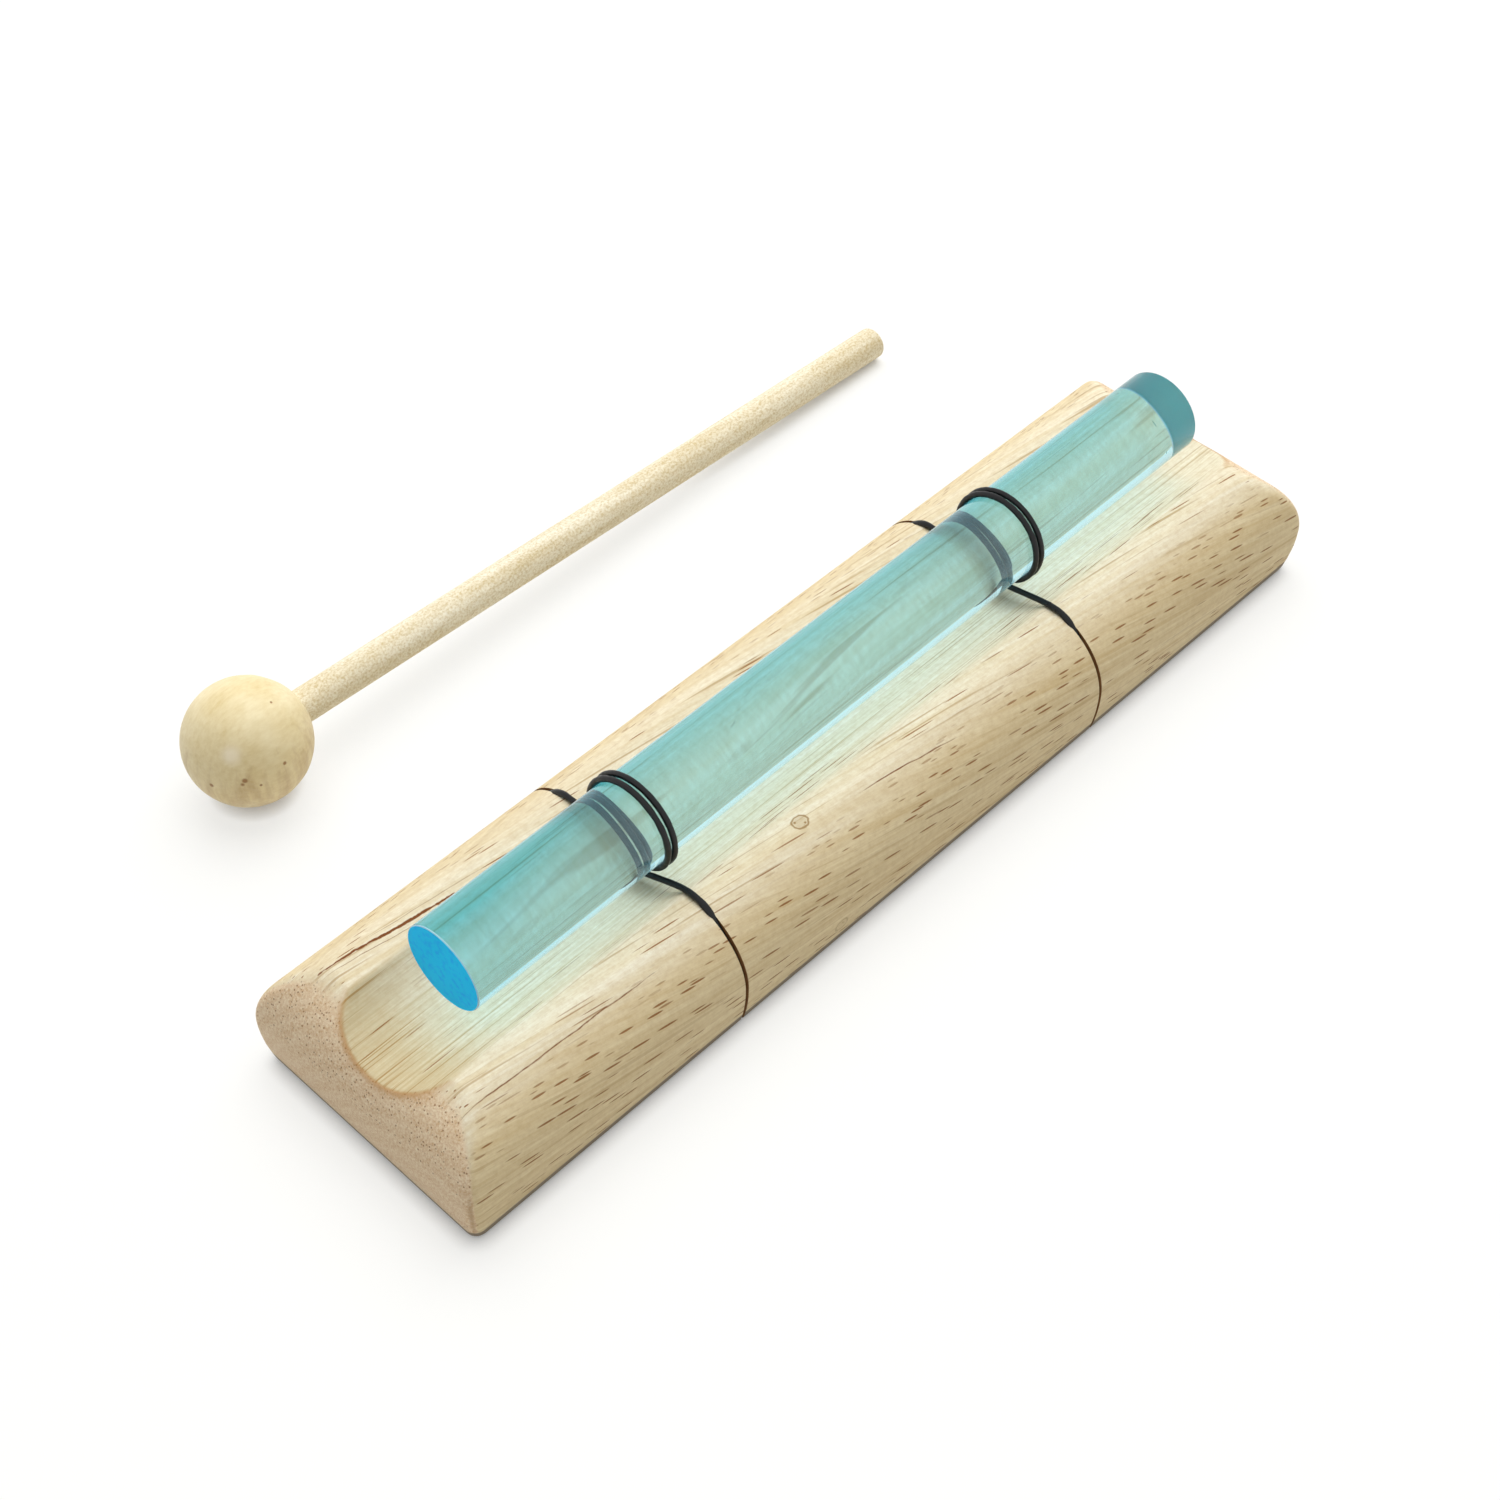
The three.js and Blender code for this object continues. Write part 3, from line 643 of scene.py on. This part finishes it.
# %% Raise the block ring by ring
def raise_block(rings):
    """A solid from level outlines, each given as (outward, up)"""
    bm = bmesh.new()
    bmesh.ops.create_grid(bm, x_segments=1, y_segments=1, size=0.5)
    bmesh.ops.scale(bm, vec=(BLOCK_LENGTH, BLOCK_WIDTH, 1), verts=bm.verts)
    bmesh.ops.bevel(
        bm, geom=bm.verts[:], offset=CORNER_RADIUS, affect="VERTICES", segments=8, profile=0.5, material=-1
    )
    move_corners(bm.verts, *rings[0])
    bottom = top = bm.faces[:][0]
    for before, after in zip(rings, rings[1:]):
        grown = bmesh.ops.extrude_face_region(bm, geom=[top])["geom"]
        # The face that was raised stays behind, and only the lowest one belongs to the outside
        if top is not bottom:
            bmesh.ops.delete(bm, geom=[top], context="FACES_ONLY")
        top = next(part for part in grown if isinstance(part, bmesh.types.BMFace))
        move_corners(top.verts, after[0] - before[0], after[1] - before[1])
    return bm


def move_corners(verts, outward, up):
    """Move the four corners of an outline out from the middle, and up"""
    for vert in verts:
        side_x = outward if vert.co.x > 0 else -outward
        side_y = outward if vert.co.y > 0 else -outward
        vert.co += Vector((side_x, side_y, up))


low_start = -math.asin((WIDEST_HEIGHT - EDGE_EASE) / LOWER_RADIUS)
high_end = math.asin((SHOULDER_RISE - EDGE_EASE / 4) / SHOULDER_RADIUS)
sides = [(-SIDE_TUCK - EDGE_EASE, 0.0)]
sides += arc((-LOWER_RADIUS, WIDEST_HEIGHT), LOWER_RADIUS, low_start, 0, 8)
sides += arc((-SHOULDER_RADIUS, WIDEST_HEIGHT), SHOULDER_RADIUS, 0, high_end, 26)[1:]
sides.append((sides[-1][0] - EDGE_EASE, BLOCK_HEIGHT))
block = to_object(raise_block(sides), "block", BLOCK_WOOD)
print("block outline:", [round(v, 4) for v in block.dimensions])

# %% Plough the trough and ease the edges
trough = bmesh.new()
width = {"radius1": TROUGH_RADIUS, "radius2": TROUGH_RADIUS}
bmesh.ops.create_cone(trough, cap_ends=True, segments=192, depth=BLOCK_LENGTH + 10, **width)
bmesh.ops.rotate(trough, cent=(0, 0, 0), matrix=Matrix.Rotation(math.pi / 2, 3, "Y"), verts=trough.verts)
bmesh.ops.translate(trough, vec=(0, TROUGH_ASIDE, TROUGH_CENTRE), verts=trough.verts)
cut(block, to_object(trough, "trough_cutter", BLOCK_WOOD))

remesh = block.modifiers.new("remesh", "REMESH")
remesh.mode = "VOXEL"
remesh.voxel_size = 0.42 * MM
relax = block.modifiers.new("relax", "SMOOTH")
relax.factor, relax.iterations = 0.5, 4
fewer = block.modifiers.new("fewer", "DECIMATE")
fewer.ratio = 0.3
bake(block, 60)
print("eased block:", len(block.data.polygons), "faces")


# %% [markdown]
# ## The kerfs and the knots' pockets
#
# Each cord lies in a thin saw kerf round the flanks and the underside.
# The cutter is a thin slab with a core taken out of it: the core is the block's own form, one kerf's
# depth smaller, so that much wood stays.
# At the shoulder the core's side runs straight out, so the kerf fades out at the land.


# %% Saw the kerfs and bore the pockets
# The station is how far each cord lies from the block's middle
STATION = 44.05
KERF_WIDTH, KERF_DEPTH = 0.7, 1.5
KERF_MOUTH = math.radians(68)
POCKET_RADIUS, POCKET_DEPTH = 3.0, 2.8


def kerf_cutter(station):
    """A thin slab round the block at one station, open towards the land"""
    low_radius, high_radius = LOWER_RADIUS - KERF_DEPTH, SHOULDER_RADIUS - KERF_DEPTH
    low = -math.asin((WIDEST_HEIGHT - KERF_DEPTH) / low_radius)
    high = KERF_MOUTH - math.acos(high_radius / SHOULDER_RADIUS)
    rings = arc((-LOWER_RADIUS, WIDEST_HEIGHT), low_radius, low, 0, 8)
    rings += arc((-SHOULDER_RADIUS, WIDEST_HEIGHT), high_radius, 0, high, 16)[1:]
    run = 14
    rings.append((rings[-1][0] - run * math.sin(high), rings[-1][1] + run * math.cos(high)))
    core = to_object(raise_block(rings), "core", KERF_WOOD)
    # The slab reaches 4 mm past either flank, 3 mm below the block and 1 mm above it
    slab = bmesh.new()
    bmesh.ops.create_cube(slab, size=1)
    bmesh.ops.scale(slab, vec=(KERF_WIDTH, BLOCK_WIDTH + 8, BLOCK_HEIGHT + 4), verts=slab.verts)
    bmesh.ops.translate(slab, vec=(station, 0, BLOCK_HEIGHT / 2 - 1), verts=slab.verts)
    cutter = to_object(slab, "kerf_cutter", KERF_WOOD)
    cut(cutter, core)
    return cutter


for station in (-STATION, STATION):
    cut(block, kerf_cutter(station))
    bore = bmesh.new()
    width = {"radius1": POCKET_RADIUS, "radius2": POCKET_RADIUS}
    bmesh.ops.create_cone(bore, cap_ends=True, segments=48, depth=2 * POCKET_DEPTH, **width)
    bmesh.ops.translate(bore, vec=(station, 0, 0), verts=bore.verts)
    cut(block, to_object(bore, "pocket_cutter", KERF_WOOD))
shade(block.data, 50)
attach(block, "block")
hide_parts("wooden_base")
print("finished block:", len(block.data.polygons), "faces, slots", [m.name for m in block.data.materials])

# %% [markdown]
# ## The bar
#
# The rod was cut to length and its two ends were ground flat and eased.
# Turning a profile about the axis gives the perfectly round surface that clear glass needs:
# any facet would show as a kink in what is seen through it.

# %% Turn the glass bar
BAR_RADIUS, BAR_LENGTH, BAR_CENTRE = 8.0, 174.6, 30.3
BAR_SHIFT, BAR_ASIDE, BAR_YAW = 3.2, -0.1, math.radians(0.45)
half = BAR_LENGTH / 2
ease = 0.35
# A ring of points beside each eased end keeps the smooth shading of the long side true
ring = 0.15
profile = [(-half, 0), (-half, BAR_RADIUS - ease)]
profile += arc((-half + ease, BAR_RADIUS - ease), ease, math.pi, math.pi / 2, 6)[1:]
profile += [(-half + ease + ring, BAR_RADIUS), (half - ease - ring, BAR_RADIUS)]
profile += arc((half - ease, BAR_RADIUS - ease), ease, math.pi / 2, 0, 6)
profile.append((half, 0))
rod = lathe(profile, 1024)
bmesh.ops.rotate(rod, cent=(0, 0, 0), matrix=Matrix.Rotation(BAR_YAW, 3, "Z"), verts=rod.verts)
middle = (BAR_SHIFT, BAR_ASIDE + BAR_SHIFT * math.tan(BAR_YAW), BAR_CENTRE)
bmesh.ops.translate(rod, vec=middle, verts=rod.verts)
bar = to_object(rod, "glass_bar", GLASS, 30)
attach(bar, "bar")
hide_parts("chime_bar")
print("bar:", [round(v, 4) for v in bar.dimensions])

# %% [markdown]
# ## The cords
#
# Each cord starts at the knot under the block, rises in its kerf, crosses the land,
# passes under the bar, winds round it twice and goes down the other side to the knot.
# It is made in parts that follow different bodies: the part in the kerf stays with the block,
# the turns move with the bar's loops, and the two free spans run between them and follow no body.


# %% Helpers for cords
def tube(name, stops):
    """A round tube along points in millimetres, each with its own radius"""
    curve = bpy.data.curves.new(name, "CURVE")
    curve.dimensions = "3D"
    curve.bevel_depth = MM
    curve.bevel_resolution = 5
    curve.use_fill_caps = True
    line = curve.splines.new("POLY")
    line.points.add(len(stops) - 1)
    for point, (x, y, z, radius) in zip(line.points, stops):
        point.co = (x * MM, y * MM, z * MM, 1)
        point.radius = radius
    made = bpy.data.objects.new(name + "_curve", curve)
    bpy.context.scene.collection.objects.link(made)
    seen = bpy.context.evaluated_depsgraph_get()
    mesh = bpy.data.meshes.new_from_object(made.evaluated_get(seen))
    bpy.data.objects.remove(made)
    bpy.data.curves.remove(curve)
    mesh.name = name
    mesh.materials.clear()
    mesh.materials.append(RUBBER)
    mesh.polygons.foreach_set("use_smooth", [True] * len(mesh.polygons))
    piece = bpy.data.objects.new(name, mesh)
    bpy.context.scene.collection.objects.link(piece)
    return piece


def uneven(x, y, z, radius):
    """A stretched cord's thickness wanders a little along it"""
    wave = noise.noise(Vector((x * 0.7, y * 0.7, z * 0.7)))
    return (x, y, z, radius * (1 + 0.1 * wave))


def smooth(t):
    """A smooth step from 0 to 1"""
    t = min(max(t, 0.0), 1.0)
    return t * t * (3 - 2 * t)


# %% The way of one cord through its kerf
CORD_RADIUS = 0.54
# The cord's middle lies this deep in the kerf, this high on the land and this far from the bar's axis
SINK = 1.05
REST = BLOCK_HEIGHT + CORD_RADIUS + 0.05
WRAP = BAR_RADIUS + CORD_RADIUS + 0.03
# The kerf pinches it to this radius, and its free span begins this far from the middle of the block
PINCHED = 0.28
SPAN_START = 13.0


def kerf_way():
    """From the knot's pocket, along the underside, up the flank and over the shoulder"""
    widest = BLOCK_WIDTH / 2
    low_radius, high_radius = LOWER_RADIUS - SINK, SHOULDER_RADIUS - SINK
    low = -math.asin((WIDEST_HEIGHT - SINK - 0.8) / low_radius)
    clear = SHOULDER_RADIUS + PINCHED + 0.05
    high = KERF_MOUTH - math.acos(high_radius / clear)
    corner = arc((widest - LOWER_RADIUS, WIDEST_HEIGHT), low_radius, low, 0, 10)
    points = [(2.4 + i * 1.5, SINK) for i in range(14)]
    points = [p for p in points if p[0] < corner[0][0] - 1] + corner
    points += arc((widest - SHOULDER_RADIUS, WIDEST_HEIGHT), high_radius, 0, high, 18)[1:]
    last = points[-1]
    climb = (REST - last[1]) / math.cos(high)
    return points, (last[0] - climb * math.sin(high), REST)


def kerf_stops(station, side):
    """One side of a cord as (x, y, z, radius), from its knot to where its free span begins"""
    points, turn = kerf_way()
    last = points[-1]
    stops = [uneven(station, side * y, z, PINCHED) for y, z in points]
    # Out of the kerf it bends down onto the land, and swells to its full thickness
    for i in range(1, 9):
        t = i / 8
        y = (1 - t) ** 2 * last[0] + 2 * t * (1 - t) * turn[0] + t**2 * (turn[0] - 2.2)
        z = (1 - t) ** 2 * last[1] + 2 * t * (1 - t) * turn[1] + t**2 * REST
        swell = PINCHED + (CORD_RADIUS - PINCHED) * smooth(t * 1.6)
        swell += 0.14 * math.exp(-(((t - 0.55) / 0.25) ** 2))
        stops.append(uneven(station, side * y, z, swell))
    lip = stops[-1]
    for i in range(1, 4):
        y = lip[1] + (side * SPAN_START - lip[1]) * i / 3
        stops.append(uneven(station, y, REST, CORD_RADIUS))
    return stops


# %% The turns and the free spans
def turn_stops(station, low_shift, top_shift, gap):
    """Twice round the bar: from the low left, under it, up its right side and over"""
    reach = math.hypot(SPAN_START, BAR_CENTRE - REST)
    meeting = math.atan2(SPAN_START, BAR_CENTRE - REST) - math.acos(WRAP / reach)
    start, end = -meeting, 4 * math.pi + meeting
    steps = 192
    stops = []
    for i in range(steps + 1):
        angle = start + (end - start) * i / steps
        up = (1 - math.cos(angle)) / 2
        shift = low_shift + (top_shift - low_shift) * up
        x = station + shift - gap * (angle / (2 * math.pi) - 1)
        y = BAR_ASIDE + x * math.tan(BAR_YAW) - WRAP * math.sin(angle)
        z = BAR_CENTRE - WRAP * math.cos(angle)
        stops.append(uneven(x, y, z, CORD_RADIUS))
    return stops


def span_stops(first, final):
    """A free span between the end of a kerf part and an end of the turns"""
    stops = [first]
    for i in range(1, 12):
        t = i / 12
        x = first[0] + (final[0] - first[0]) * smooth(t)
        y = first[1] + (final[1] - first[1]) * t
        z = first[2] + (final[2] - first[2]) * t
        stops.append(uneven(x, y, z, CORD_RADIUS))
    return [*stops, final]


# %% Lay both cords
# Each cord's station, how far its turns lie off it below and above the bar, and their spacing
CORDS = {
    "front": (-STATION, -0.3, 0.24, 1.5),
    "rear": (STATION, 0.8, 1.78, 1.4),
}
for word, (station, low_shift, top_shift, gap) in CORDS.items():
    left, right = kerf_stops(station, 1), kerf_stops(station, -1)
    turns = turn_stops(station, low_shift, top_shift, gap)
    parts = {
        "kerf_left": left,
        "kerf_right": right,
        "turns": turns,
        "span_left": span_stops(left[-1], turns[0]),
        "span_right": span_stops(right[-1], turns[-1]),
    }
    for part, stops in parts.items():
        piece = tube(f"{word}_cord_{part}", stops)
        if part.startswith("kerf"):
            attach(piece, "block")
        elif part == "turns":
            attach(piece, "loops")
        else:
            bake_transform(piece)
    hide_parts(f"{word}_cord")

# %% [markdown]
# ## The knots
#
# The two ends of each cord are tied with an overhand knot that sits in a small pocket under the block.
# A trefoil curve is the form of a closed overhand knot.


# %% Tie the knots
def tie_knot(name, station):
    """A small trefoil of cord, flattened to fit its pocket"""
    stops = []
    for i in range(97):
        t = 2 * math.pi * i / 96
        x = 0.3 * (math.sin(t) + 2 * math.sin(2 * t))
        y = 0.42 * (math.cos(t) - 2 * math.cos(2 * t))
        z = 0.45 * -math.sin(3 * t)
        stops.append((station + x, y, 1.4 + z, 0.4))
    return tube(name, stops)


for word, station in (("front", -STATION), ("rear", STATION)):
    knot = tie_knot(f"{word}_knot", station)
    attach(knot, "block")
    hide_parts(f"{word}_cord_knot")
    print(knot.name, [round(v, 4) for v in knot.dimensions])

# %% [markdown]
# ## The mallet
#
# The head is a turned ball with a blind bore, and the handle is a plain dowel glued into it.
# The ball was turned by hand, so it is a little out of round.
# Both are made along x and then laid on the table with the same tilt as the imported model.

# %% Turn the ball
HEAD_RADIUS, HANDLE_RADIUS, REACH = 22.85 / 2, 6.35 / 2, 160.0
MALLET_X, MALLET_Y, MALLET_YAW = -67.5, 71.2, math.radians(0.26)
SOCKET_RADIUS, SOCKET_DEPTH, BORE_LENGTH = 3.22, 11.0, 13.0
tilt = math.asin((HEAD_RADIUS - HANDLE_RADIUS) / REACH)
lay = (
    Matrix.Translation(Vector((MALLET_X, MALLET_Y, HEAD_RADIUS)))
    @ Matrix.Rotation(MALLET_YAW, 4, "Z")
    @ Matrix.Rotation(tilt, 4, "Y")
)
ball = bmesh.new()
bmesh.ops.create_uvsphere(ball, u_segments=96, v_segments=64, radius=HEAD_RADIUS)
for vert in ball.verts:
    direction = vert.co.normalized()
    dent = noise.noise(direction * 2.1 + Vector((3.1, 0.4, 7.7)))
    vert.co -= direction * (0.16 * abs(dent))
bmesh.ops.transform(ball, matrix=lay, verts=ball.verts)
head = to_object(ball, "mallet_ball", BALL_WOOD)
bore = bmesh.new()
width = {"radius1": SOCKET_RADIUS, "radius2": SOCKET_RADIUS}
bmesh.ops.create_cone(bore, cap_ends=True, segments=64, depth=BORE_LENGTH, **width)
bmesh.ops.rotate(bore, cent=(0, 0, 0), matrix=Matrix.Rotation(math.pi / 2, 3, "Y"), verts=bore.verts)
bmesh.ops.translate(bore, vec=(HEAD_RADIUS - SOCKET_DEPTH + BORE_LENGTH / 2, 0, 0), verts=bore.verts)
bmesh.ops.transform(bore, matrix=lay, verts=bore.verts)
cut(head, to_object(bore, "bore_cutter", BALL_WOOD))
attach(head, "mallet")
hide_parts("mallet_head")
print("mallet head:", len(head.data.polygons), "faces")

# %% Turn the dowel
# It starts 0.3 mm short of the bore's floor, and its free end is rounded
start, tip_ease = HEAD_RADIUS - SOCKET_DEPTH + 0.3, 0.8
straight = REACH - tip_ease
profile = [(start, 0), (start, HANDLE_RADIUS)]
profile += [(start + (straight - start) * i / 60, HANDLE_RADIUS) for i in range(1, 60)]
profile += arc((straight, HANDLE_RADIUS - tip_ease), tip_ease, math.pi / 2, 0, 5)
profile.append((REACH, 0))
dowel = lathe(profile, 64)
bmesh.ops.transform(dowel, matrix=lay, verts=dowel.verts)
handle = to_object(dowel, "mallet_dowel", DOWEL_WOOD)
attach(handle, "mallet")
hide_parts("mallet_handle")
print("mallet dowel:", len(handle.data.polygons), "faces")

# %% [markdown]
# ## Table, light and camera
#
# The table is plain and pale.
# To the camera, in the glass and in reflections it is nearly white, and it gives the wood only a mild glow
# from below, so the flanks stay darker than the land.
# One broad lamp hangs above the far side, and a pale sky fills the rest.


# %% The table
def seen_directly(tree):
    """One for what the camera sees, also reflected or through glass, and zero for light on its way round"""
    path = add(tree, "LightPath").outputs
    seen = add(tree, "Math", {0: path["Is Camera Ray"], 1: path["Is Glossy Ray"]}, operation="MAXIMUM")
    seen = add(tree, "Math", {0: seen, 1: path["Is Transmission Ray"]}, operation="MAXIMUM")
    first = add(tree, "Math", {0: path["Diffuse Depth"], 1: 0.5}, operation="LESS_THAN")
    return add(tree, "Math", {0: seen, 1: first}, operation="MULTIPLY")


def table_paper():
    """Matt white paper that keeps its shadows, darkest in the thin gap under a piece"""
    material, tree = new_material("matt_white_paper")
    seen = seen_directly(tree)
    paper = add(tree, "Mix", {0: seen, 6: colour("#EDEBE5"), 7: colour("#FFFFFC")}, **COLOURS)
    flat = add(tree, "BsdfDiffuse", {"Color": paper})
    glow = add(tree, "Emission", {"Color": colour("#FFFFFD"), "Strength": 1.0})
    gap = add(tree, "AmbientOcclusion", {"Distance": 0.003}, samples=8).outputs["AO"]
    share = add(tree, "Math", {0: seen, 1: 0.72}, operation="MULTIPLY")
    share = add(tree, "Math", {0: share, 1: gap}, operation="MULTIPLY")
    mixed = add(tree, "MixShader", {0: share, 1: flat, 2: glow})
    add(tree, "OutputMaterial", {"Surface": mixed})
    return material


# The floor lies a hair below the pieces, so that no two faces share a place
ground = bmesh.new()
bmesh.ops.create_grid(ground, x_segments=1, y_segments=1, size=1500)
bmesh.ops.translate(ground, vec=(0, 0, -0.03), verts=ground.verts)
floor = to_object(ground, "table_top", table_paper())
print("table:", [round(v, 2) for v in floor.dimensions])

# %% The light
world = bpy.data.worlds.new("soft_sky")
bpy.context.scene.world = world
world.use_nodes = True
tree = world.node_tree
sky = tree.nodes["Background"]
strength = add(tree, "MapRange", {"Value": seen_directly(tree), "To Min": 0.3, "To Max": 1.0})
sky.inputs["Color"].default_value = colour("#FFFFFF")
tree.links.new(strength.outputs[0], sky.inputs["Strength"])


def broad_lamp(name, place, aim, size, power):
    """A square lamp that faces a point"""
    lamp = bpy.data.lights.new(name, "AREA")
    lamp.shape = "SQUARE"
    lamp.size = size
    lamp.energy = power
    holder = bpy.data.objects.new(name, lamp)
    holder.location = place
    holder.rotation_mode = "QUATERNION"
    holder.rotation_quaternion = (Vector(aim) - Vector(place)).to_track_quat("-Z", "Y")
    holder.visible_glossy = False
    holder.visible_transmission = False
    bpy.context.scene.collection.objects.link(holder)
    return holder


broad_lamp("overhead_lamp", (0.41, 0.37, 1.18), (0, 0, 0), 1.5, 22.0)

# %% The camera
eye = Vector((-222.316, -200.70, 355.27)) * MM
right = Vector((0.69962, -0.71452, 0.00087))
up = Vector((0.53887, 0.52843, 0.65603))
ahead = Vector((0.46921, 0.45850, -0.75473))
camera_data = bpy.data.cameras.new("camera")
camera_data.lens = 63.89
camera_data.sensor_width = 36
camera_data.clip_start = 0.01
camera = bpy.data.objects.new("camera", camera_data)
camera.matrix_world = Matrix(
    (
        (right.x, up.x, -ahead.x, eye.x),
        (right.y, up.y, -ahead.y, eye.y),
        (right.z, up.z, -ahead.z, eye.z),
        (0, 0, 0, 1),
    )
)
bpy.context.scene.collection.objects.link(camera)
bpy.context.scene.camera = camera

# %% The view
# Light runs down the rod by many inner reflections, so paths may bounce more often than usual.
bpy.context.scene.view_settings.view_transform = "Standard"
bpy.context.scene.cycles.max_bounces = 64
bpy.context.scene.cycles.transmission_bounces = 64
bpy.context.scene.cycles.glossy_bounces = 64
